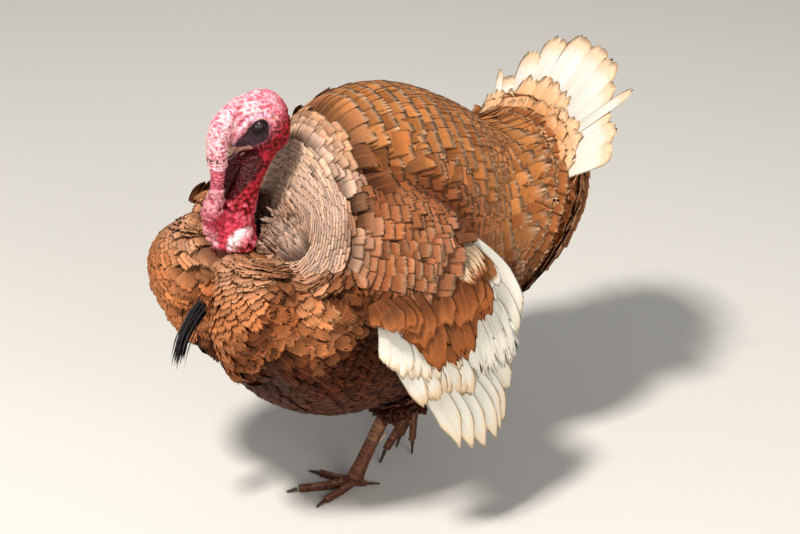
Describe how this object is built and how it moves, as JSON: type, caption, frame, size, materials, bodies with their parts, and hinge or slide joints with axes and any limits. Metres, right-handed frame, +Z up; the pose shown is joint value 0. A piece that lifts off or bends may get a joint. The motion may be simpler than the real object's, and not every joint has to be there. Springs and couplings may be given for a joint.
{
  "type": "domestic turkey figure",
  "caption": "Life-size still model of a heavy domestic turkey tom in strut, tail raised and wings drooped, standing on its feet.",
  "frame": {"origin": "on the floor, under the middle of the outline", "axes": "+Z up; the bird faces -Y, so its left side is +X"},
  "size_m": [0.47, 0.6562, 0.5926],
  "materials": {
    "red_feather": "soft matt feathers, chestnut red with paler edges",
    "pale_feather": "smooth cream-white flight feathers",
    "naked_skin": "bare warty skin, pink to deep red, slightly moist",
    "horn": "smooth horn",
    "leg_scale": "overlapping scutes, pinkish brown",
    "bristle": "coarse black bristles",
    "eye_dark": "wet, clear over dark brown"
  },
  "bodies": {
    "root": {"eye_left": "eye_dark", "eye_right": "eye_dark", "head": "naked_skin", "neck": "naked_skin", "trunk": "red_feather", "rump": "red_feather", "snood": "naked_skin", "bill_upper": "horn", "bill_lower": "horn", "caruncles": "naked_skin", "dewlap": "naked_skin", "beard": "bristle", "tail": "pale_feather", "thigh_left": "red_feather", "shank_left": "leg_scale", "spur_left": "horn", "foot_left": "leg_scale", "claw_left_inner": "horn", "claw_left_middle": "horn", "claw_left_outer": "horn", "claw_left_hind": "horn", "thigh_right": "red_feather", "shank_right": "leg_scale", "spur_right": "horn", "foot_right": "leg_scale", "claw_right_inner": "horn", "claw_right_middle": "horn", "claw_right_outer": "horn", "claw_right_hind": "horn", "wing_left_arm": "red_feather", "wing_left_primaries": "pale_feather", "wing_left_secondaries": "pale_feather", "wing_right_arm": "red_feather", "wing_right_primaries": "pale_feather", "wing_right_secondaries": "pale_feather"}
  },
  "joints": []
}
